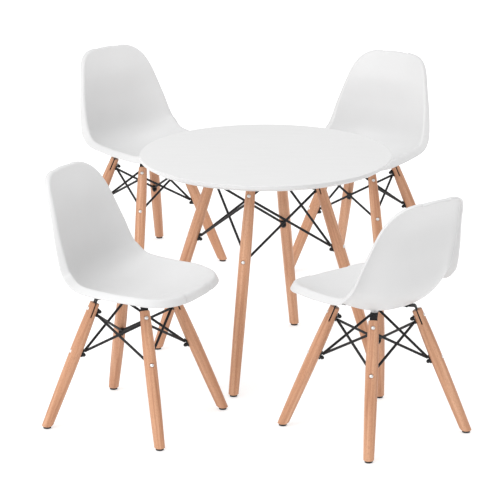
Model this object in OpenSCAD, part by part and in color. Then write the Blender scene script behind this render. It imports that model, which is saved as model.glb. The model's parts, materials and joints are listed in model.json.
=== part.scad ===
// Children's round table with four moulded shell chairs on dowel legs.
// Every frame is four dowels bolted to a flat steel cross and to a welded wire cage.
// Axes: +X to the right, +Y away from the open side, +Z up. The origin is on the floor,
// under the centre of the whole set. A chair's own frame has +X forwards and +Y to its left.

/* [Table] */
// Diameter of the round top
table_d = 600; // [500:10:720]
// Height of the top surface above the floor
table_h = 518; // [430:1:620]
// Thickness of the top board
top_t = 15; // [14:1:22]
// Height of the upright band round the edge of the top
top_band = 7; // [3:0.5:10]
// How far the bevel under the band runs in from the edge
top_bevel = 12; // [4:1:30]
// Radius at which the table's leg axes meet the floor
table_foot_r = 278; // [220:1:330]
// Lean of the table legs from upright, in degrees
table_lean = 17.7; // [10:0.1:22]
// From the underside of the top down to the middle of a leg's top
table_leg_gap = 39; // [10:1:50]
// Distance along a table leg between its two bolts
table_brace_span = 156; // [100:0.5:200]
// Radius of the screws that hold the cross to the top
table_screw_r = 80; // [40:1:95]

/* [Chair] */
// Height of the steel cross's upper face above the floor
seat_bar_h = 297.5; // [240:0.5:370]
// Radius at which a chair's leg axes meet the floor
chair_foot_r = 209; // [170:0.5:250]
// Lean of the chair legs from upright, in degrees
chair_lean = 22.4; // [14:0.1:26]
// From the cross's upper face down to the middle of a leg's top
chair_leg_gap = 11; // [6:0.5:20]
// Distance along a chair leg between its two bolts
chair_brace_span = 105.5; // [80:0.5:130]
// Radius of the screws that hold the cross to the shell
seat_screw_r = 68; // [50:1:72]

/* [Shell] */
// Width of the shell over its rolled edges
shell_w = 295; // [250:1:370]
// Depth of the shell from the top of its back to its front edge
shell_depth = 333; // [280:1:400]
// Height of the top of the back above the seat pads
back_h = 269; // [220:1:330]
// Wall of the shell
shell_t = 4; // [3:0.25:6]
// Radius of the rolled edge
roll_r = 7.5; // [6.5:0.5:10]
// Skirt below the roll along the sides of the seat
skirt_side = 12.5; // [4:0.5:18]
// Skirt below the roll round the back
skirt_back = 4; // [2:0.5:12]
// Skirt below the roll along the front
skirt_front = 12; // [4:0.5:16]
// Diameter of a moulded boss under the seat
boss_d = 16; // [12:0.5:20]

/* [Legs] */
// Diameter of a chair leg at its top
chair_top_d = 22.2; // [19:0.1:25]
// Diameter of a chair leg at its thickest
chair_belly_d = 28.2; // [23:0.1:32]
// Diameter of a table leg at its top
table_top_d = 22.4; // [19:0.1:25]
// Diameter of a table leg at its thickest
table_belly_d = 27.8; // [23:0.1:32]
// Diameter of every leg at its foot
foot_d = 23.8; // [18:0.1:26]
// Rounding round the foot
foot_round = 2; // [1:0.1:4]
// Chamfer round the top of a leg
top_chamfer = 0.8; // [0.3:0.1:2]
// Depth of the saw slot in the top of a leg
slot_depth = 34; // [28:0.5:40]
// Distance of the upper bolt from the top of its leg
bolt_drop = 16.7; // [14:0.1:20]

/* [Steel] */
// Width of the flat bars of the cross
bar_w = 17; // [14:0.5:19]
// Thickness of the flat bars
bar_t = 3; // [2:0.25:4]
// Radius of the bend at the middle of the bar
bend_r = 5; // [4:0.5:6]
// Diameter of the cage's rods
rod_d = 6; // [4:0.25:6.5]
// Width of the cage's end plates
plate_w = 13; // [11:0.5:15]
// Thickness of the end plates
plate_t = 2.5; // [2:0.25:3.5]
// Distance from a bolt to the rods on its end plate
plate_reach = 9.5; // [9:0.5:15]

/* [Fasteners] */
// Diameter of the leg bolts and seat screws
bolt_d = 5; // [4:0.25:6]
// Diameter of a bolt's domed head
head_d = 9.6; // [8.5:0.1:11]
// Height of a bolt's domed head
head_h = 3; // [2:0.1:4]
// Depth of the flat seat cut in the leg under a head
spot_depth = 1.8; // [1:0.1:3]
// Gap round a bolt head in its seat
spot_gap = 0.9; // [0.3:0.1:1.2]
// Width across the flats of a cap nut
nut_af = 8.4; // [8:0.1:11]
// Height of the hexagon of a cap nut
nut_h = 4.6; // [3:0.1:6]
// Diameter of a seat or table screw's head
screw_head_d = 9; // [8:0.1:11]
// Height of a seat or table screw's head
screw_head_h = 3; // [2:0.1:4]
// Thickness of the pad between the cross and the shell
pad_t = 2; // [1:0.25:4]
// Outer diameter of a brass insert in the table top
insert_d = 8; // [7.5:0.1:10]
// Length of a brass insert
insert_len = 9; // [7:0.5:10]

/* [Glides] */
// Diameter of a glide
glide_d = 18; // [12:0.5:20]
// Thickness of a glide at its middle
glide_t = 5.5; // [3:0.25:6.5]
// Radius of a glide's domed sole
sole_r = 28; // [14:0.5:34]
// Diameter of the nail that holds a glide
nail_d = 3; // [2:0.25:4]
// Length of the nail inside the leg
nail_len = 16; // [10:1:16]

/* [Clearances] */
// Radial gap round a bolt or screw in its hole
bolt_gap = 0.15; // [0.05:0.05:0.4]
// Gap on each face of a bar in its saw slot
slot_gap = 0.15; // [0.05:0.05:0.4]
// Gap between an end plate and the leg it is bolted to
plate_gap = 0.2; // [0.1:0.05:0.5]
// Radial gap between a threaded shank and its nut
thread_gap = 0.05; // [0.02:0.01:0.1]

/* [Layout] */
// Turn of the table's legs about the centre of the top, in degrees
table_turn = 29.1; // [-45:0.1:45]
// Chair 1 from the table's centre, across
chair_1_x = -297.4; // [-700:1:-280]
// Chair 1 from the table's centre, away
chair_1_y = -413.6; // [-800:1:-380]
// Direction that chair 1 faces, in degrees
chair_1_turn = -27.7; // [-60:0.1:60]
// Chair 2 from the table's centre, across
chair_2_x = 242.6; // [220:1:700]
// Chair 2 from the table's centre, away
chair_2_y = -479.3; // [-800:1:-440]
// Direction that chair 2 faces, in degrees
chair_2_turn = 128.9; // [90:0.1:160]
// Chair 3 from the table's centre, across
chair_3_x = -318.6; // [-700:1:-200]
// Chair 3 from the table's centre, away
chair_3_y = 851.6; // [600:1:1000]
// Direction that chair 3 faces, in degrees
chair_3_turn = -51; // [-90:0.1:-20]
// Chair 4 from the table's centre, across
chair_4_x = 268.2; // [200:1:700]
// Chair 4 from the table's centre, away
chair_4_y = 771.6; // [600:1:1000]
// Direction that chair 4 faces, in degrees
chair_4_turn = -120.9; // [-160:0.1:-90]

/* [Hidden] */
$fn = 48;
eps = 0.01;

LEG_SIDES = ["front_left", "front_right", "rear_left", "rear_right"];
LEG_TURNS = [45, -45, 135, -135];
TABLE_SIDES = ["back", "right", "left", "front"];
CHAIRS = [
    [chair_1_x, chair_1_y, chair_1_turn],
    [chair_2_x, chair_2_y, chair_2_turn],
    [chair_3_x, chair_3_y, chair_3_turn],
    [chair_4_x, chair_4_y, chair_4_turn]
];
CHAIR_PARTS = ["shell", "seat_pads", "seat_screws", "seat_cross", "wire_cage", "leg_bolts", "leg_nuts", "glides"];
TABLE_PARTS = ["top", "top_inserts", "top_screws", "top_cross", "wire_cage", "leg_bolts", "leg_nuts", "glides"];

// Centre of the set's floor box, seen from the table's centre
SET_CENTRE = [-27.77, 186.17];

// A frame: [foot radius, lean, height of the cross's upper face, gap down to the leg tops,
// distance between the bolts, top diameter, thickest diameter, screw radius]
CHAIR = [chair_foot_r, chair_lean, seat_bar_h, chair_leg_gap, chair_brace_span, chair_top_d, chair_belly_d, seat_screw_r];
TABLE = [table_foot_r, table_lean, table_h - top_t, table_leg_gap, table_brace_span, table_top_d, table_belly_d,
    table_screw_r];

function foot_r(f) = f[0];
function lean(f) = f[1];
function bar_top(f) = f[2];
function leg_top_z(f) = f[2] - f[3];
function span(f) = f[4];
function top_r(f) = f[5] / 2;
function belly_r(f) = f[6] / 2;

function axis_x(f, z) = foot_r(f) - z * tan(lean(f));
// The middle of a leg's foot, which is cut level just above its glide
function end_x(f) = axis_x(f, glide_t);
function end_z(f) = glide_t;
function along(f, z) = (z - glide_t) / cos(lean(f));
function leg_len(f) = along(f, leg_top_z(f));
// Where a cross's arm starts to bend down, and how far out its screw may stand on the flat of the arm
function bend_run(f) = bend_r * tan((90 - lean(f)) / 2);
function bend_x(f) = axis_x(f, bar_top(f) - bar_t / 2) - bend_run(f);
function screw_r(f) = min(f[7], bend_x(f) - screw_head_d / 2 - 1);
function upper_s(f) = leg_len(f) - bolt_drop;
function lower_s(f) = upper_s(f) - span(f);

// Radius of a leg at a distance along it: a slow barrel, thickest at its middle bolt
function leg_r(f, s) = let(m = lower_s(f))
    s < m ? belly_r(f) - (belly_r(f) - foot_d / 2) * pow((m - s) / m, 2)
          : belly_r(f) - (belly_r(f) - top_r(f)) * pow((s - m) / (leg_len(f) - m), 2);

// From a leg's own frame (+X outwards, +Z up the leg) to the frame's
function leg_to_frame(f, turn, p) = let(
    x = end_x(f) + p[0] * cos(lean(f)) - p[2] * sin(lean(f)),
    z = end_z(f) + p[0] * sin(lean(f)) + p[2] * cos(lean(f)))
    [x * cos(turn) - p[1] * sin(turn), x * sin(turn) + p[1] * cos(turn), z];

module at_leg(f, turn) {
    rotate([0, 0, turn])
        translate([end_x(f), 0, end_z(f)])
            rotate([0, -lean(f), 0])
                children();
}

module at_chair(c) {
    translate([CHAIRS[c - 1][0] - SET_CENTRE[0], CHAIRS[c - 1][1] - SET_CENTRE[1], 0])
        rotate([0, 0, CHAIRS[c - 1][2]])
            children();
}

module at_table() {
    translate([-SET_CENTRE[0], -SET_CENTRE[1], 0])
        rotate([0, 0, table_turn])
            children();
}

// Points [x, y] of an arc about a centre
function arc(c, r, from, to, steps) = [
    for (i = [0:steps]) let(a = from + (to - from) * i / steps) [c[0] + r * cos(a), c[1] + r * sin(a)]
];

// ---- Legs ----

LEG_RINGS = 12;

// Takes off the leg below its level foot, and the foot's sharp edge. It stands upright on the foot's middle.
module foot_cutter() {
    flat_r = foot_d / 2 - foot_round;
    turn_r = flat_r + foot_round * 0.5;
    turn_z = foot_round * 0.2;
    rotate_extrude()
        polygon([
            [0, -foot_d],
            [foot_d, -foot_d],
            [foot_d, turn_z + foot_d - turn_r],
            [turn_r, turn_z],
            [flat_r, 0],
            [0, 0]
        ]);
}

module leg(f) {
    len = leg_len(f);
    slot_w = bar_t + 2 * slot_gap;
    hole_r = bolt_d / 2 + bolt_gap;
    stub = foot_d / 2 * tan(lean(f)) + 1;
    outline = concat(
        [[0, -stub], [foot_d / 2, -stub]],
        [for (i = [0:LEG_RINGS]) let(s = (len - top_chamfer) * i / LEG_RINGS) [leg_r(f, s), s]],
        [[leg_r(f, len) - top_chamfer, len], [0, len]]
    );
    difference() {
        rotate_extrude() polygon(outline);
        translate([-slot_w / 2, -belly_r(f) - 1, len - slot_depth])
            cube([slot_w, 2 * belly_r(f) + 2, slot_depth + 1]);
        for (s = [lower_s(f), upper_s(f)]) {
            translate([-belly_r(f) - 1, 0, s])
                rotate([0, 90, 0])
                    cylinder(h = 2 * belly_r(f) + 2, r = hole_r);
            translate([leg_r(f, s) - spot_depth, 0, s])
                rotate([0, 90, 0])
                    cylinder(h = spot_depth + 2, d = head_d + 2 * spot_gap);
        }
        rotate([0, lean(f), 0]) {
            foot_cutter();
            translate([0, 0, -1])
                cylinder(h = nail_len + 1.5, d = nail_d + 2 * thread_gap);
        }
    }
}

// ---- Steel cross under the seat or the top ----

BEND_STEPS = 6;

module cross(f) {
    zc = bar_top(f) - bar_t / 2;
    bend = [bend_x(f), zc - bend_r];
    tab_s = leg_len(f) - slot_depth + 1;
    tab_end = [end_x(f) - tab_s * sin(lean(f)), end_z(f) + tab_s * cos(lean(f))];
    side = [cos(lean(f)), sin(lean(f))] * bar_t / 2;
    outline = concat(
        [[0, zc + bar_t / 2]],
        arc(bend, bend_r + bar_t / 2, 90, lean(f), BEND_STEPS),
        [tab_end + side, tab_end - side],
        arc(bend, bend_r - bar_t / 2, lean(f), 90, BEND_STEPS),
        [[0, zc - bar_t / 2]]
    );
    difference() {
        for (turn = LEG_TURNS)
            rotate([90, 0, turn])
                translate([0, 0, -bar_w / 2])
                    linear_extrude(bar_w) polygon(outline);
        for (turn = LEG_TURNS) {
            rotate([0, 0, turn])
                translate([screw_r(f), 0, zc - bar_t])
                    cylinder(h = 2 * bar_t, r = bolt_d / 2 + bolt_gap);
            at_leg(f, turn)
                translate([-bar_t, 0, upper_s(f)])
                    rotate([0, 90, 0])
                        cylinder(h = 2 * bar_t, r = bolt_d / 2 + bolt_gap);
        }
    }
}

// ---- Welded wire cage ----

// Outer face of an end plate, as a distance from the leg's axis
function plate_x(f, s) = plate_gap + max(leg_r(f, s), leg_r(f, s - plate_w / 2), leg_r(f, s + plate_w / 2));
// Distance from a bolt to the rods on its end plate, never so short that a rod meets the nut
rod_reach = max(plate_reach, nut_af / 2 / cos(30) + rod_d / 2 + 0.5);
// Axis of the rods on the inner face of an end plate
function rod_x(f, s) = plate_x(f, s) + plate_t + rod_d / 2 - 1;

module end_plate(f, s, way) {
    x = -plate_x(f, s) - plate_t;
    difference() {
        union() {
            translate([x, 0, s])
                rotate([0, 90, 0])
                    cylinder(h = plate_t, d = plate_w);
            translate([x, -plate_w / 2, way > 0 ? s : s - rod_reach - rod_d / 2])
                cube([plate_t, plate_w, rod_reach + rod_d / 2]);
        }
        translate([x - 1, 0, s])
            rotate([0, 90, 0])
                cylinder(h = plate_t + 2, r = bolt_d / 2 + bolt_gap);
    }
}

module rod(p, q) {
    d = q - p;
    translate(p)
        rotate([0, acos(d[2] / norm(d)), atan2(d[1], d[0])])
            cylinder(h = norm(d), d = rod_d, $fn = 24);
}

module wire_cage(f) {
    lo = lower_s(f);
    up = upper_s(f);
    for (turn = LEG_TURNS) {
        at_leg(f, turn) {
            end_plate(f, lo, 1);
            end_plate(f, up, -1);
        }
        for (side = [-1, 1])
            rod(leg_to_frame(f, turn, [-rod_x(f, lo), side * rod_d / 4, lo + rod_reach]),
                leg_to_frame(f, turn + 90 * side, [-rod_x(f, up), -side * rod_d / 4, up - rod_reach]));
    }
}

// ---- Fasteners ----

// A dome of the given base diameter and height, rising along +Z
module dome(d, h) {
    r = (d * d / 4 + h * h) / (2 * h);
    intersection() {
        translate([0, 0, h - r]) sphere(r);
        cylinder(h = h + 1, d = d);
    }
}

module leg_bolt(f, s) {
    seat = leg_r(f, s) - spot_depth;
    tip = plate_x(f, s) + plate_t + nut_h;
    translate([seat, 0, s])
        rotate([0, 90, 0])
            dome(head_d, head_h);
    translate([-tip, 0, s])
        rotate([0, 90, 0])
            cylinder(h = tip + seat + eps, d = bolt_d);
}

module cap_nut(f, s) {
    base = plate_x(f, s) + plate_t;
    translate([-base, 0, s])
        rotate([0, -90, 0])
            difference() {
                union() {
                    cylinder(h = nut_h, d = nut_af / cos(30), $fn = 6);
                    translate([0, 0, nut_h - eps]) dome(nut_af - 0.6, nut_af / 2 - 0.6);
                }
                translate([0, 0, -1])
                    cylinder(h = nut_h + 1.4, d = bolt_d + 2 * thread_gap);
            }
}

module at_bolts(f) {
    for (turn = LEG_TURNS)
        at_leg(f, turn)
            children();
}

module leg_bolts(f) {
    at_bolts(f) {
        leg_bolt(f, lower_s(f));
        leg_bolt(f, upper_s(f));
    }
}

module leg_nuts(f) {
    at_bolts(f) {
        cap_nut(f, lower_s(f));
        cap_nut(f, upper_s(f));
    }
}

module at_screws(f) {
    for (turn = LEG_TURNS)
        rotate([0, 0, turn])
            translate([screw_r(f), 0, bar_top(f)])
                children();
}

// Pan-headed screw from below, its shank standing up above the cross
module cross_screw(up) {
    head_top = -bar_t;
    translate([0, 0, head_top])
        mirror([0, 0, 1])
            difference() {
                dome_pan();
                translate([0, 0, screw_head_h - 1.6]) cylinder(h = 3, d = bolt_d * 0.7, $fn = 6);
            }
    translate([0, 0, head_top - eps])
        cylinder(h = up + bar_t + eps, d = bolt_d);
}

module dome_pan() {
    cylinder(h = screw_head_h * 0.6, d = screw_head_d);
    translate([0, 0, screw_head_h * 0.6 - eps])
        cylinder(h = screw_head_h * 0.4 + eps, d1 = screw_head_d, d2 = screw_head_d * 0.75);
}

// Domed glide, its upper face at the level of the foot, with its nail standing up in the leg
module glide() {
    intersection() {
        translate([0, 0, sole_r - glide_t]) sphere(sole_r);
        translate([0, 0, -glide_t - 1]) cylinder(h = glide_t + 1, d = glide_d);
    }
    translate([0, 0, -eps])
        cylinder(h = nail_len + eps, d = nail_d);
}

module glides(f) {
    for (turn = LEG_TURNS)
        rotate([0, 0, turn])
            translate([end_x(f), 0, end_z(f)])
                glide();
}

// ---- Table top ----

module table_top() {
    r = table_d / 2;
    under = table_h - top_t;
    soften = 1;
    difference() {
        rotate_extrude($fn = 180)
            polygon(concat(
                [[0, under], [r - top_bevel, under], [r, table_h - soften - top_band]],
                arc([r - soften, table_h - soften], soften, 0, 90, 4),
                [[0, table_h]]
            ));
        for (turn = LEG_TURNS)
            rotate([0, 0, turn])
                translate([screw_r(TABLE), 0, under - 1])
                    cylinder(h = insert_len + 2, d = insert_d + 2 * thread_gap);
    }
}

module top_inserts() {
    at_screws(TABLE)
        translate([0, 0, 0.2])
            difference() {
                cylinder(h = insert_len, d = insert_d);
                translate([0, 0, -1]) cylinder(h = insert_len + 2, d = bolt_d + 2 * thread_gap);
            }
}

// ---- Chair shell ----

// Stations from the top of the back, down it and forwards to the front of the seat:
// [forwards, up from the pads, half width, rise of the sides above the middle]
STATIONS = [
    [-176.5, 269, 114.5, 19],
    [-147, 204, 119, 17],
    [-136, 126, 129.5, 32],
    [-120, 47, 137.5, 49],
    [-67.5, 4, 140, 49],
    [24, 1.5, 140, 42],
    [97.5, 13, 144, 34.5],
    [156.5, 34.5, 150.5, 17.5]
];
SHELL_SCALE = [
    shell_depth / (STATIONS[7][0] - STATIONS[0][0]),
    back_h / STATIONS[0][1],
    (shell_w / 2 - roll_r) / STATIONS[5][2]
];
BACK_CORNER = 4;
FRONT_CORNER = 4.5;
SIDE_CURVE = 2.4;
ROLL_ANGLE = 80;
ROLL_STEPS = 3;
RIM_STEPS = 56;
RINGS = [0.16, 0.32, 0.46, 0.58, 0.69, 0.79, 0.88, 0.95, 1];

function unit(v) = v / max(norm(v), 1e-6);

// Smooth curve through a list of values or vectors, u from 0 to 1
function spline(p, u) = let(
    n = len(p) - 1,
    t = min(max(u, 0), 1) * n,
    i = min(floor(t), n - 1),
    f = t - i,
    a = i == 0 ? 2 * p[0] - p[1] : p[i - 1],
    b = p[i],
    c = p[i + 1],
    d = i + 2 > n ? 2 * p[n] - p[n - 1] : p[i + 2])
    b + 0.5 * f * ((c - a) + f * ((2 * a - 5 * b + 4 * c - d) + f * (3 * b - a - 3 * c + d)));

// Outer skin: a from -1 at the top of the back to 1 at the front, b across from -1 to 1
function skin(a, b, raise = 0) = let(
    u = (a + 1) / 2,
    s = spline(STATIONS, u),
    d = spline(STATIONS, u + 0.001) - spline(STATIONS, u - 0.001),
    along = unit([d[0] * SHELL_SCALE[0], d[1] * SHELL_SCALE[1]]),
    lift = s[3] * pow(abs(b), SIDE_CURVE) + raise)
    [s[0] * SHELL_SCALE[0] - along[1] * lift, s[2] * SHELL_SCALE[2] * b, s[1] * SHELL_SCALE[1] + along[0] * lift];

function skin_normal(a, b) = let(e = 0.01)
    unit(cross(skin(a + e, b) - skin(a - e, b), skin(a, b + e) - skin(a, b - e)));

// Where a ray at an angle leaves the rounded square of the shell's outline
function rim_ab(t) = let(
    n = cos(t) < 0 ? BACK_CORNER : FRONT_CORNER,
    k = 1 / pow(pow(abs(cos(t)), n) + pow(abs(sin(t)), n), 1 / n))
    [k * cos(t), k * sin(t)];

// One point on the rolled edge: [place, outward normal of its upper face]
function roll(t, turn, skirt) = let(
    ab = rim_ab(t),
    before = rim_ab(t - 1),
    after = rim_ab(t + 1),
    n = skin_normal(ab[0] * 0.995, ab[1] * 0.995),
    edge = unit(skin(after[0], after[1]) - skin(before[0], before[1])),
    out = unit(cross(edge, n)),
    face = n * cos(turn) + out * sin(turn),
    down = out * cos(turn) - n * sin(turn))
    [skin(ab[0], ab[1]) + out * roll_r * sin(turn) - n * roll_r * (1 - cos(turn)) + down * skirt, face];

function skirt_at(t) = let(u = (rim_ab(t)[0] + 1) / 2)
    spline([skirt_back, skirt_back, skirt_side, skirt_side, skirt_front, skirt_front], u);

// Rows of [place, normal] from the middle of the shell to the lower edge of its skirt
function shell_rows() = let(turns = [for (i = [0:RIM_STEPS - 1]) 360 * i / RIM_STEPS]) concat(
    [for (k = RINGS) [for (t = turns) let(ab = k * rim_ab(t))
        [skin(ab[0], ab[1], shell_t * (1 - pow(k, 3))), skin_normal(ab[0] * 0.995, ab[1] * 0.995)]]],
    [for (j = [1:ROLL_STEPS]) [for (t = turns) roll(t, ROLL_ANGLE * j / ROLL_STEPS, 0)]],
    [[for (t = turns) roll(t, ROLL_ANGLE, skirt_at(t))]]
);

module shell_skin() {
    rows = shell_rows();
    last = len(rows) - 1;
    half = 1 + len(rows) * RIM_STEPS;
    middle = [skin(0, 0, shell_t), skin_normal(0, 0)];
    points = concat(
        [middle[0]],
        [for (row = rows) for (p = row) p[0]],
        [middle[0] - shell_t * middle[1]],
        [for (row = rows) for (p = row) p[0] - shell_t * p[1]]
    );
    function at(side, j, i) = side * half + 1 + j * RIM_STEPS + i % RIM_STEPS;
    faces = concat(
        [for (i = [0:RIM_STEPS - 1]) [0, at(0, 0, i + 1), at(0, 0, i)]],
        [for (j = [0:last - 1]) for (i = [0:RIM_STEPS - 1]) each [
            [at(0, j, i), at(0, j, i + 1), at(0, j + 1, i)],
            [at(0, j, i + 1), at(0, j + 1, i + 1), at(0, j + 1, i)]]],
        [for (i = [0:RIM_STEPS - 1]) each [
            [at(0, last, i), at(0, last, i + 1), at(1, last, i)],
            [at(0, last, i + 1), at(1, last, i + 1), at(1, last, i)]]],
        [for (j = [0:last - 1]) for (i = [0:RIM_STEPS - 1]) each [
            [at(1, j, i), at(1, j + 1, i), at(1, j, i + 1)],
            [at(1, j, i + 1), at(1, j + 1, i), at(1, j + 1, i + 1)]]],
        [for (i = [0:RIM_STEPS - 1]) [half, at(1, 0, i), at(1, 0, i + 1)]]
    );
    polyhedron(points, faces);
}

// The value of a at which the skin is a given distance forwards
function find_a(x, b, lo = -1, hi = 1, k = 12) = k == 0 ? (lo + hi) / 2
    : let(m = (lo + hi) / 2) skin(m, b)[0] < x ? find_a(x, b, m, hi, k - 1) : find_a(x, b, lo, m, k - 1);
boss_at = screw_r(CHAIR) / sqrt(2);
function boss_h(x) = let(b = boss_at / (STATIONS[5][2] * SHELL_SCALE[2])) skin(find_a(x, b), b)[2] + shell_t / 2;

module shell() {
    base = seat_bar_h + pad_t;
    translate([0, 0, base])
        difference() {
            union() {
                shell_skin();
                for (x = [-boss_at, boss_at])
                    for (y = [-boss_at, boss_at])
                        translate([x, y, 0])
                            cylinder(h = boss_h(x), d = boss_d);
            }
            for (x = [-boss_at, boss_at])
                for (y = [-boss_at, boss_at])
                    translate([x, y, -1])
                        cylinder(h = boss_h(x) + 1, r = bolt_d / 2 + thread_gap);
        }
}

module seat_pads() {
    at_screws(CHAIR)
        difference() {
            cylinder(h = pad_t, d = boss_d);
            translate([0, 0, -1]) cylinder(h = pad_t + 2, r = bolt_d / 2 + bolt_gap);
        }
}

seat_screw_up = pad_t + min(boss_h(-boss_at), boss_h(boss_at)) - 1;

// ---- One module per kind of piece, drawn for the table or for a chair ----

STEEL = [0.14, 0.14, 0.15];
BEECH = [0.87, 0.66, 0.50];
WHITE = [0.94, 0.94, 0.94];

module frame_piece(f, piece) {
    if (piece == "wire_cage") color(STEEL) wire_cage(f);
    if (piece == "leg_bolts") color("silver") leg_bolts(f);
    if (piece == "leg_nuts") color(STEEL) leg_nuts(f);
    if (piece == "glides") color([0.1, 0.1, 0.1]) glides(f);
    if (piece == "seat_cross" || piece == "top_cross") color(STEEL) cross(f);
}

module table_piece(piece) {
    at_table() {
        if (piece == "top") color(WHITE) table_top();
        if (piece == "top_inserts") color("goldenrod") top_inserts();
        if (piece == "top_screws") color("dimgray") at_screws(TABLE) cross_screw(insert_len);
        frame_piece(TABLE, piece);
    }
}

module chair_piece(c, piece) {
    at_chair(c) {
        if (piece == "shell") color(WHITE) shell();
        if (piece == "seat_pads") color("black") seat_pads();
        if (piece == "seat_screws") color("dimgray") at_screws(CHAIR) cross_screw(seat_screw_up);
        frame_piece(CHAIR, piece);
    }
}

for (p = TABLE_PARTS)
    table_piece(p);
for (i = [0:3])
    color(BEECH) at_table() at_leg(TABLE, LEG_TURNS[i]) leg(TABLE);
for (c = [1:4]) {
    for (p = CHAIR_PARTS)
        chair_piece(c, p);
    for (i = [0:3])
        color(BEECH) at_chair(c) at_leg(CHAIR, LEG_TURNS[i]) leg(CHAIR);
}
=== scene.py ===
"""Looks for the children's table and chairs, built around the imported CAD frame. Metres, +Z up."""
import json
import math

import bpy
import numpy as np
from mathutils import Matrix, Vector


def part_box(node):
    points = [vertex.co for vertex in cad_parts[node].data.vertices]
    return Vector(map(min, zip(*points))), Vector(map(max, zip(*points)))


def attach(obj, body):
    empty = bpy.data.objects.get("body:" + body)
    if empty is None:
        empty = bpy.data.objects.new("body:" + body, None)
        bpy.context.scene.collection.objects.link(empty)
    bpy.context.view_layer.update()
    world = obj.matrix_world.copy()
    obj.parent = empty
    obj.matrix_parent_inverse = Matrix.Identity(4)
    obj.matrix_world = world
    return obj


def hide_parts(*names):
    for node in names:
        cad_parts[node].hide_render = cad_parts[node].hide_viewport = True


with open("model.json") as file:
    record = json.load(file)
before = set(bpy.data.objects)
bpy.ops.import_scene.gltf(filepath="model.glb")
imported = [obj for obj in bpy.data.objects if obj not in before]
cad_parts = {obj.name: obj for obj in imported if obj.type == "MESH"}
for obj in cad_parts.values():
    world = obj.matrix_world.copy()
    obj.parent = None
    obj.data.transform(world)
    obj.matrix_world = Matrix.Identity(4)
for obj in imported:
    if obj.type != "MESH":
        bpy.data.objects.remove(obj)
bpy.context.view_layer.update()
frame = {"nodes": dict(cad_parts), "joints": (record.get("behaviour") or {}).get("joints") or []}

MM = 0.001
CHAIRS = (1, 2, 3, 4)
LEG_SIDES = ("front_left", "front_right", "rear_left", "rear_right")
TABLE_SIDES = ("back", "right", "left", "front")

# ---------------------------------------------------------------- node helpers


def new_material(name):
    mat = bpy.data.materials.new(name)
    mat.use_nodes = True
    tree = mat.node_tree
    tree.nodes.clear()
    out = tree.nodes.new("ShaderNodeOutputMaterial")
    shader = tree.nodes.new("ShaderNodeBsdfPrincipled")
    tree.links.new(shader.outputs[0], out.inputs[0])
    return mat, tree, shader


def add(tree, kind, inputs=None, **settings):
    """Adds a node. inputs maps a socket name or number to a value or to another node's output."""
    node = tree.nodes.new(kind)
    for key, value in settings.items():
        setattr(node, key, value)
    for key, value in (inputs or {}).items():
        if isinstance(value, bpy.types.NodeSocket):
            tree.links.new(value, node.inputs[key])
        else:
            node.inputs[key].default_value = value
    return node


def object_place(tree):
    return add(tree, "ShaderNodeTexCoord").outputs["Object"]


def noise(tree, vector, scale, detail=2.0, roughness=0.5, distortion=0.0):
    node = add(tree, "ShaderNodeTexNoise", {
        "Vector": vector, "Scale": scale, "Detail": detail, "Roughness": roughness, "Distortion": distortion})
    return node.outputs["Fac"]


def stretch(tree, vector, scale):
    return add(tree, "ShaderNodeVectorMath", {0: vector, 1: scale}, operation="MULTIPLY").outputs[0]


def ramp(tree, fac, stops):
    node = add(tree, "ShaderNodeValToRGB", {"Fac": fac})
    band = node.color_ramp
    while len(band.elements) < len(stops):
        band.elements.new(0.5)
    for element, (place, colour) in zip(band.elements, stops):
        element.position = place
        element.color = (*colour, 1.0)
    return node.outputs["Color"]


def to_range(tree, value, low, high, start=0.0, end=1.0):
    node = add(tree, "ShaderNodeMapRange", {
        "Value": value, "From Min": start, "From Max": end, "To Min": low, "To Max": high})
    return node.outputs["Result"]


def blend_colour(tree, fac, first, second, kind="MIX"):
    node = add(tree, "ShaderNodeMix", data_type="RGBA", blend_type=kind)
    for socket, value in ((node.inputs[0], fac), (node.inputs[6], first), (node.inputs[7], second)):
        if isinstance(value, bpy.types.NodeSocket):
            tree.links.new(value, socket)
        else:
            socket.default_value = value
    return node.outputs[2]


def bump(tree, height, strength, distance, normal=None):
    inputs = {"Height": height, "Strength": strength, "Distance": distance}
    if normal is not None:
        inputs["Normal"] = normal
    return add(tree, "ShaderNodeBump", inputs).outputs["Normal"]


# ---------------------------------------------------------------- materials


def moulded_plastic(name, colour, roughness):
    """Satin moulded plastic: a very fine grain, slow waviness, faint cloudiness and scuffs."""
    mat, tree, shader = new_material(name)
    place = object_place(tree)
    cloud = noise(tree, place, 9.0, 3.0, 0.55)
    tint = blend_colour(tree, to_range(tree, cloud, 0.0, 1.0, 0.3, 0.7),
                        (*[c * 0.975 for c in colour], 1), (*colour, 1))
    tree.links.new(tint, shader.inputs["Base Color"])
    scuff = noise(tree, stretch(tree, place, (60.0, 60.0, 220.0)), 1.0, 4.0, 0.6)
    rough = to_range(tree, scuff, roughness - 0.05, roughness + 0.07, 0.3, 0.7)
    tree.links.new(rough, shader.inputs["Roughness"])
    fine = noise(tree, place, 1500.0, 2.0, 0.6)
    waves = noise(tree, place, 26.0, 1.0, 0.4)
    normal = bump(tree, fine, 0.12, 0.0003)
    normal = bump(tree, waves, 0.10, 0.0012, normal)
    tree.links.new(normal, shader.inputs["Normal"])
    shader.inputs["IOR"].default_value = 1.49
    return mat


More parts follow.
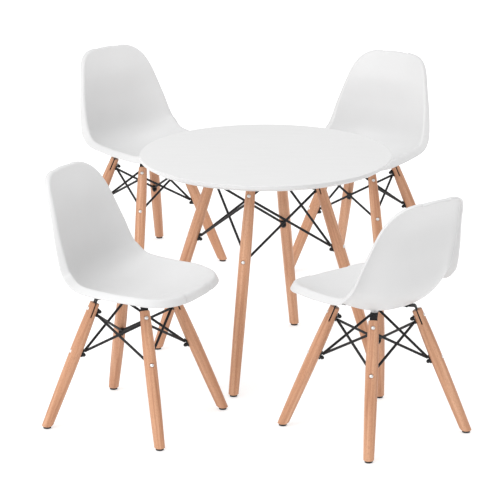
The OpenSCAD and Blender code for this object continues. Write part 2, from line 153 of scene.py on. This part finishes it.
def lacquered_board(name, colour):
    """White lacquer on fibreboard: a slight orange peel and faint rubbing marks."""
    mat, tree, shader = new_material(name)
    place = object_place(tree)
    cloud = noise(tree, place, 5.0, 3.0, 0.5)
    tint = blend_colour(tree, to_range(tree, cloud, 0.0, 1.0, 0.3, 0.7),
                        (*[c * 0.985 for c in colour], 1), (*colour, 1))
    tree.links.new(tint, shader.inputs["Base Color"])
    wipe = noise(tree, stretch(tree, place, (14.0, 90.0, 14.0)), 1.0, 5.0, 0.62)
    tree.links.new(to_range(tree, wipe, 0.36, 0.50, 0.3, 0.7), shader.inputs["Roughness"])
    peel = noise(tree, place, 420.0, 2.0, 0.5)
    tree.links.new(bump(tree, peel, 0.10, 0.0003), shader.inputs["Normal"])
    shader.inputs["IOR"].default_value = 1.48
    return mat


def beech(name, centre, turn, seed):
    """Varnished beech along one leg: soft streaks, growth bands and the short dark flecks of its rays."""
    mat, tree, shader = new_material(name)
    place = object_place(tree)
    leg = add(tree, "ShaderNodeMapping", {"Vector": place, "Location": centre, "Rotation": turn},
              vector_type="TEXTURE").outputs[0]
    leg = add(tree, "ShaderNodeVectorMath", {0: leg, 1: (seed * 0.137, seed * 0.211, seed * 0.071)},
              operation="ADD").outputs[0]
    streaks = noise(tree, stretch(tree, leg, (150.0, 150.0, 5.0)), 1.0, 4.0, 0.55, 0.3)
    bands = noise(tree, stretch(tree, leg, (52.0, 52.0, 1.6)), 1.0, 2.0, 0.5, 0.6)
    flecks = add(tree, "ShaderNodeTexVoronoi", {
        "Vector": stretch(tree, leg, (780.0, 780.0, 150.0)), "Scale": 1.0, "Randomness": 1.0},
        feature="F1").outputs["Distance"]
    pores = noise(tree, stretch(tree, leg, (1500.0, 1500.0, 110.0)), 1.0, 2.0, 0.6)
    tone = ramp(tree, streaks, [
        (0.27, (0.425, 0.196, 0.104)), (0.47, (0.580, 0.300, 0.173)), (0.70, (0.705, 0.402, 0.250))])
    band = to_range(tree, bands, 0.0, 0.55, 0.42, 0.66)
    tone = blend_colour(tree, band, tone, (0.470, 0.214, 0.116, 1))
    fleck = to_range(tree, flecks, 0.60, 0.0, 0.14, 0.34)
    tone = blend_colour(tree, fleck, tone, (0.320, 0.138, 0.074, 1))
    pore = to_range(tree, pores, 0.28, 0.0, 0.30, 0.44)
    tone = blend_colour(tree, pore, tone, (0.290, 0.130, 0.072, 1))
    tree.links.new(tone, shader.inputs["Base Color"])
    tree.links.new(to_range(tree, streaks, 0.50, 0.38, 0.3, 0.7), shader.inputs["Roughness"])
    normal = bump(tree, streaks, 0.16, 0.0004)
    normal = bump(tree, pores, 0.25, 0.0002, normal)
    tree.links.new(normal, shader.inputs["Normal"])
    shader.inputs["IOR"].default_value = 1.45
    return mat


def powder_coat(name, colour, roughness):
    """Fine black powder coat on steel: pebbled and dusty, with a sheen that follows the pebbles."""
    mat, tree, shader = new_material(name)
    place = object_place(tree)
    dust = noise(tree, place, 60.0, 4.0, 0.6)
    tint = blend_colour(tree, to_range(tree, dust, 0.0, 1.0, 0.35, 0.7),
                        (*colour, 1), (*[c * 1.7 + 0.004 for c in colour], 1))
    tree.links.new(tint, shader.inputs["Base Color"])
    pebble = noise(tree, place, 1400.0, 3.0, 0.6)
    rough = to_range(tree, pebble, roughness - 0.10, roughness + 0.10, 0.3, 0.7)
    tree.links.new(rough, shader.inputs["Roughness"])
    tree.links.new(bump(tree, pebble, 0.35, 0.0003), shader.inputs["Normal"])
    shader.inputs["Specular IOR Level"].default_value = 0.3
    return mat


def bare_metal(name, colour, roughness, brushed):
    """Plated or turned metal with fine marks and a slow tarnish."""
    mat, tree, shader = new_material(name)
    place = object_place(tree)
    tarnish = noise(tree, place, 210.0, 3.0, 0.6)
    tint = blend_colour(tree, to_range(tree, tarnish, 0.0, 1.0, 0.3, 0.7),
                        (*[c * 0.88 for c in colour], 1), (*colour, 1))
    tree.links.new(tint, shader.inputs["Base Color"])
    marks = noise(tree, stretch(tree, place, (900.0, 900.0, 2600.0)), 1.0, 3.0, 0.6)
    rough = to_range(tree, marks, roughness, roughness + 0.18, 0.3, 0.7)
    tree.links.new(rough, shader.inputs["Roughness"])
    tree.links.new(bump(tree, marks, brushed, 0.0002), shader.inputs["Normal"])
    shader.inputs["Metallic"].default_value = 1.0
    return mat


def rubber(name, colour, roughness):
    """Matte rubber or nylon with a dusty bloom."""
    mat, tree, shader = new_material(name)
    place = object_place(tree)
    bloom = noise(tree, place, 130.0, 4.0, 0.65)
    tint = blend_colour(tree, to_range(tree, bloom, 0.0, 1.0, 0.45, 0.75),
                        (*colour, 1), (*[c * 2.2 + 0.006 for c in colour], 1))
    tree.links.new(tint, shader.inputs["Base Color"])
    grain = noise(tree, place, 1900.0, 2.0, 0.6)
    rough = to_range(tree, bloom, roughness - 0.08, roughness + 0.1, 0.3, 0.7)
    tree.links.new(rough, shader.inputs["Roughness"])
    tree.links.new(bump(tree, grain, 0.3, 0.0003), shader.inputs["Normal"])
    return mat


SHELL_WHITE = moulded_plastic("shell_white", (0.668, 0.668, 0.670), 0.40)
BOARD_WHITE = lacquered_board("board_white", (0.700, 0.700, 0.700))
STEEL = powder_coat("black_powder_coat", (0.007, 0.007, 0.008), 0.50)
NUT_BLACK = powder_coat("black_nut_finish", (0.009, 0.009, 0.010), 0.38)
SCREW_BLACK = powder_coat("black_screw_finish", (0.018, 0.018, 0.020), 0.38)
ZINC = bare_metal("bright_zinc", (0.84, 0.84, 0.83), 0.22, 0.12)
BRASS = bare_metal("brass", (0.80, 0.60, 0.28), 0.30, 0.15)
RUBBER = rubber("black_rubber", (0.020, 0.020, 0.021), 0.62)
NYLON = rubber("black_nylon", (0.006, 0.006, 0.007), 0.60)


def dress(node, mat):
    obj = frame["nodes"][node]
    obj.data.materials.clear()
    obj.data.materials.append(mat)


def leg_place(node):
    """The middle and the turn of a leg, from its own points: its longest direction becomes local Z."""
    points = np.array([v.co for v in frame["nodes"][node].data.vertices])
    middle = (points.min(0) + points.max(0)) / 2
    axis = Vector(np.linalg.svd(points - points.mean(0))[2][0])
    if axis.z < 0:
        axis = -axis
    return middle, Vector((0, 0, 1)).rotation_difference(axis).to_euler()


def dress_frame(prefix, cross, sides):
    dress(prefix + cross, STEEL)
    dress(prefix + "wire_cage", STEEL)
    dress(prefix + "leg_bolts", ZINC)
    dress(prefix + "leg_nuts", NUT_BLACK)
    dress(prefix + "glides", NYLON)
    for side in sides:
        node = f"{prefix}leg_{side}"
        middle, turn = leg_place(node)
        dress(node, beech("beech_" + node, middle, turn, 3 + len(bpy.data.materials)))


dress_frame("table_", "top_cross", TABLE_SIDES)
dress("table_top", BOARD_WHITE)
dress("table_top_inserts", BRASS)
dress("table_top_screws", SCREW_BLACK)
for chair in CHAIRS:
    dress_frame(f"chair_{chair}_", "seat_cross", LEG_SIDES)
    dress(f"chair_{chair}_seat_pads", RUBBER)
    dress(f"chair_{chair}_seat_screws", SCREW_BLACK)

# ---------------------------------------------------------------- shell

# Stations from the top of the back to the front of the seat:
# [forwards, up from the pads, half width, rise of the sides], in millimetres
STATIONS = np.array([
    [-176.5, 269, 114.5, 19],
    [-147, 204, 119, 17],
    [-136, 126, 129.5, 32],
    [-120, 47, 137.5, 49],
    [-67.5, 4, 140, 49],
    [24, 1.5, 140, 42],
    [97.5, 13, 144, 34.5],
    [156.5, 34.5, 150.5, 17.5],
], float)
SHELL_WIDTH = 295.0
WALL = 4.0
ROLL_R = 7.5
ROLL_ANGLE = math.radians(80)
SKIRTS = np.array([[4.0], [4.0], [12.5], [12.5], [12.0], [12.0]])
BACK_CORNER = 4.0
FRONT_CORNER = 4.5
SIDE_CURVE = 2.4
WIDTH_SCALE = (SHELL_WIDTH / 2 - ROLL_R) / STATIONS[5][2]
# Rim tangents are taken this far to each side, and rim normals this share of the way out
RIM_REACH = math.radians(1)
RIM_INSET = 0.995
# The first ring's share of the way out, and how much closer the rings stand towards the rim
FIRST_RING = 0.02
RING_CROWDING = 1.15
RIM_STEPS = 256
RING_STEPS = 56
ROLL_STEPS = 12
SKIRT_STEPS = 3
LIP_STEPS = 6
# The four bosses under the seat, round the screws that hold the steel cross
BOSS_AT = 48.1
BOSS_R = 8.0
BORE_R = 2.55
BOSS_SOFTEN = 0.5
BOSS_FLARE = 3.0
BOSS_STEPS = 48
SOFTEN_STEPS = 4
FLARE_STEPS = 8
BORE_CENTRE_R = 0.05
SEARCH_STEPS = 24


def spline(points, u):
    """Smooth curve through a list of values, u from 0 to 1."""
    n = len(points) - 1
    t = np.clip(u, 0, 1) * n
    i = np.minimum(t.astype(int), n - 1)
    f = (t - i)[..., None]
    ends = np.concatenate([[2 * points[0] - points[1]], points, [2 * points[n] - points[n - 1]]])
    a, b, c, d = ends[i], ends[i + 1], ends[i + 2], ends[i + 3]
    return b + 0.5 * f * ((c - a) + f * ((2 * a - 5 * b + 4 * c - d) + f * (3 * b - a - 3 * c + d)))


def unit(v):
    return v / np.maximum(np.linalg.norm(v, axis=-1, keepdims=True), 1e-9)


def skin(a, b, lift=0.0):
    """The outer skin: a runs down the back and along the seat from -1 to 1, b across from -1 to 1."""
    u = (a + 1) / 2
    s = spline(STATIONS, u)
    d = spline(STATIONS, u + 1e-3) - spline(STATIONS, u - 1e-3)
    along = unit(d[..., :2])
    rise = s[..., 3] * np.abs(b) ** SIDE_CURVE + lift
    return np.stack([s[..., 0] - along[..., 1] * rise, s[..., 2] * WIDTH_SCALE * b,
                     s[..., 1] + along[..., 0] * rise], -1)


def skin_normal(a, b):
    e = 0.01
    return unit(np.cross(skin(a + e, b) - skin(a - e, b), skin(a, b + e) - skin(a, b - e)))


def rim_ab(t):
    n = np.where(np.cos(t) < 0, BACK_CORNER, FRONT_CORNER)
    k = 1 / (np.abs(np.cos(t)) ** n + np.abs(np.sin(t)) ** n) ** (1 / n)
    return k * np.cos(t), k * np.sin(t)


def shell_rows():
    """Rows of places and normals, from the shell's middle to the lower edge of its skirt."""
    t = np.linspace(0, 2 * math.pi, RIM_STEPS, endpoint=False)
    a, b = rim_ab(t)
    rows = []
    for k in 1 - (1 - np.linspace(FIRST_RING, 1, RING_STEPS)) ** RING_CROWDING:
        place = skin(k * a, k * b, WALL * (1 - k ** 3))
        rows.append((place, skin_normal(k * a * RIM_INSET, k * b * RIM_INSET)))
    rim = skin(a, b)
    n = rows[-1][1]
    before = skin(*rim_ab(t - RIM_REACH))
    after = skin(*rim_ab(t + RIM_REACH))
    out = unit(np.cross(unit(after - before), n))
    skirt = spline(SKIRTS, (a + 1) / 2)

    def roll(turn, drop):
        face = n * math.cos(turn) + out * math.sin(turn)
        down = out * math.cos(turn) - n * math.sin(turn)
        place = rim + out * ROLL_R * math.sin(turn) - n * ROLL_R * (1 - math.cos(turn)) + down * drop
        return place, face
    rows += [roll(ROLL_ANGLE * j / ROLL_STEPS, 0) for j in range(1, ROLL_STEPS + 1)]
    rows += [roll(ROLL_ANGLE, skirt * j / SKIRT_STEPS) for j in range(1, SKIRT_STEPS + 1)]
    return rows


def under_seat(x, y):
    """Height of the shell's outer skin above the places (x, y)."""
    low, high = np.full(x.shape, -1.0), np.full(x.shape, 1.0)
    for _ in range(SEARCH_STEPS):
        a = (low + high) / 2
        b = y / (spline(STATIONS, (a + 1) / 2)[..., 2] * WIDTH_SCALE)
        short = skin(a, b)[..., 0] < x
        low, high = np.where(short, a, low), np.where(short, high, a)
    return skin(a, b)[..., 2]


def boss_rings(x, y):
    """A moulded boss from the pad up into the seat, flared where it meets the seat, with its screw bore."""
    turns = np.linspace(0, 2 * math.pi, BOSS_STEPS, endpoint=False)

    def ring(radius, height):
        return np.stack([x + radius * np.cos(turns), y + radius * np.sin(turns),
                         np.broadcast_to(height, turns.shape)], -1)

    def seat(radius):
        return under_seat(x + radius * np.cos(turns), y + radius * np.sin(turns))
    bore_top = float(np.min(seat(BORE_R)))
    rings = [ring(BORE_CENTRE_R, bore_top), ring(BORE_R, bore_top), ring(BORE_R, BOSS_SOFTEN),
             ring(BORE_R + BOSS_SOFTEN, 0.0)]
    for g in np.linspace(0, math.pi / 2, SOFTEN_STEPS + 1):
        rings.append(ring(BOSS_R - BOSS_SOFTEN * (1 - math.sin(g)), BOSS_SOFTEN * (1 - math.cos(g))))
    for g in np.linspace(0, math.pi / 2, FLARE_STEPS + 1):
        flare = BOSS_R + BOSS_FLARE * (1 - math.cos(g))
        rings.append(ring(flare, seat(flare) - BOSS_FLARE * (1 - math.sin(g))))
    rings.append(ring(BOSS_R, seat(BOSS_R) + WALL / 2))
    return rings


def shell_mesh():
    """Both skins, the rounded lip that joins them and the four bosses, in one mesh."""
    rows = shell_rows()
    upper = [p for p, _ in rows]
    lower = [p - WALL * n for p, n in rows]
    # A rounded lip joins the two skins below the skirt
    down = unit(rows[-1][0] - rows[-2][0])
    middle = (upper[-1] + lower[-1]) / 2
    half = (upper[-1] - lower[-1]) / 2
    lip = [middle + half * math.cos(g) + down * (WALL / 2) * math.sin(g)
           for g in np.linspace(0, math.pi, LIP_STEPS + 1)[1:-1]]
    loops = upper + lip + lower[::-1]
    top = skin(np.array(0.0), np.array(0.0), WALL)
    bottom = top - WALL * skin_normal(np.array(0.0), np.array(0.0))
    points = np.concatenate([np.array(loops).reshape(-1, 3), [top, bottom]])
    m = RIM_STEPS
    count = len(loops)
    faces = [(j * m + i, (j + 1) * m + i, (j + 1) * m + (i + 1) % m, j * m + (i + 1) % m)
             for j in range(count - 1) for i in range(m)]
    first, last = count * m, count * m + 1
    faces += [(first, i, (i + 1) % m) for i in range(m)]
    faces += [(last, (count - 1) * m + (i + 1) % m, (count - 1) * m + i) for i in range(m)]
    for x in (-BOSS_AT, BOSS_AT):
        for y in (-BOSS_AT, BOSS_AT):
            rings = boss_rings(x, y)
            base, m = len(points), BOSS_STEPS
            faces += [(base + j * m + i, base + j * m + (i + 1) % m,
                       base + (j + 1) * m + (i + 1) % m, base + (j + 1) * m + i)
                      for j in range(len(rings) - 1) for i in range(m)]
            points = np.concatenate([points, *rings])
    mesh = bpy.data.meshes.new("shell")
    mesh.from_pydata((points * MM).tolist(), [], faces)
    mesh.validate()
    mesh.shade_smooth()
    mesh.materials.append(SHELL_WHITE)
    return mesh


def link_piece(name, mesh, matrix=None):
    obj = bpy.data.objects.new(name, mesh)
    bpy.context.scene.collection.objects.link(obj)
    if matrix is not None:
        obj.matrix_world = matrix
    return obj


def chair_matrix(chair):
    """A chair's own frame on top of its pads: +X forwards, from its cross, its pads and its slide."""
    low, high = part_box(f"chair_{chair}_seat_cross")
    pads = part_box(f"chair_{chair}_seat_pads")[1].z
    joint = next(j for j in frame["joints"] if j["child"] == f"chair_{chair}")
    turn = math.atan2(joint["axis"][1], joint["axis"][0])
    middle = Vector(((low.x + high.x) / 2, (low.y + high.y) / 2, pads))
    return Matrix.Translation(middle) @ Matrix.Rotation(turn, 4, "Z")


shell = shell_mesh()
for chair in CHAIRS:
    piece = link_piece(f"chair_{chair}_moulded_shell", shell.copy(), chair_matrix(chair))
    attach(piece, f"chair_{chair}")
    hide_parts(f"chair_{chair}_shell")

# ---------------------------------------------------------------- studio

# The camera stands back from the table's centre on the open side and looks down by CAMERA_DIP radians
TOP_LOW, TOP_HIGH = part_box("table_top")
TABLE_CENTRE = Vector(((TOP_LOW.x + TOP_HIGH.x) / 2, (TOP_LOW.y + TOP_HIGH.y) / 2, 0))
CAMERA_FROM_TABLE = Vector((-0.0371, -5.5639, 1.9316))
CAMERA_DIP = 0.2888
FOCAL_PIXELS = 2404.8
SENSOR = 36.0
IMAGE_WIDTH = 500.0

camera_data = bpy.data.cameras.new("camera")
camera_data.sensor_width = SENSOR
camera_data.lens = FOCAL_PIXELS * SENSOR / IMAGE_WIDTH
camera = bpy.data.objects.new("camera", camera_data)
camera.location = TABLE_CENTRE + CAMERA_FROM_TABLE
camera.rotation_euler = (math.pi / 2 - CAMERA_DIP, 0, 0)
bpy.context.scene.collection.objects.link(camera)
bpy.context.scene.camera = camera

# The floor glows a little more far from the set, where the lights don't reach
NEAR_GLOW, FAR_GLOW = 0.55, 0.68
NEAR_REACH, FAR_REACH = 0.7, 4.0


def floor_material():
    """Plain white paper that glows enough to lose its edges."""
    mat, tree, shader = new_material("studio_floor")
    place = object_place(tree)
    paper = noise(tree, place, 3.0, 2.0, 0.5)
    tree.links.new(blend_colour(tree, paper, (0.60, 0.60, 0.60, 1), (0.62, 0.62, 0.62, 1)),
                   shader.inputs["Base Color"])
    shader.inputs["Roughness"].default_value = 1.0
    shader.inputs["Specular IOR Level"].default_value = 0.0
    shader.inputs["Emission Color"].default_value = (1, 1, 1, 1)
    reach = add(tree, "ShaderNodeVectorMath", {0: place}, operation="LENGTH").outputs["Value"]
    glow = to_range(tree, reach, NEAR_GLOW, FAR_GLOW, NEAR_REACH, FAR_REACH)
    tree.links.new(glow, shader.inputs["Emission Strength"])
    return mat


HALF_FLOOR = 20.0
floor_mesh = bpy.data.meshes.new("floor")
corners = [(x * HALF_FLOOR, y * HALF_FLOOR, 0) for x, y in ((-1, -1), (1, -1), (1, 1), (-1, 1))]
floor_mesh.from_pydata(corners, [], [(0, 1, 2, 3)])
floor_mesh.materials.append(floor_material())
floor = link_piece("floor", floor_mesh)

LIT_POINT = TABLE_CENTRE + Vector((0, 0, 0.35))
LIGHT_DISTANCE = 5.0
LIGHT_SIZE = 4.0
# [name, degrees to the camera's right, degrees up, watts]
LIGHTS = (
    ("key", -45, 40, 112),
    ("front", 0, 40, 8),
    ("left", -90, 10, 26),
    ("overhead", 0, 90, 58),
    ("rim", 135, 40, 16),
)


def studio_light(name, azimuth, elevation, power):
    """A large round soft light aimed at the set."""
    data = bpy.data.lights.new(name, "AREA")
    data.shape = "DISK"
    data.size = LIGHT_SIZE
    data.energy = power
    a, e = math.radians(azimuth), math.radians(elevation)
    away = Vector((math.sin(a) * math.cos(e), -math.cos(a) * math.cos(e), math.sin(e)))
    lamp = bpy.data.objects.new(name, data)
    lamp.location = LIT_POINT + LIGHT_DISTANCE * away
    lamp.rotation_euler = away.to_track_quat("Z", "Y").to_euler()
    bpy.context.scene.collection.objects.link(lamp)


for light in LIGHTS:
    studio_light(*light)

WORLD_LIGHT = 0.70
world = bpy.data.worlds.new("studio")
world.use_nodes = True
world.node_tree.nodes["Background"].inputs["Color"].default_value = (1, 1, 1, 1)
world.node_tree.nodes["Background"].inputs["Strength"].default_value = WORLD_LIGHT
bpy.context.scene.world = world
bpy.context.scene.view_settings.view_transform = "Standard"
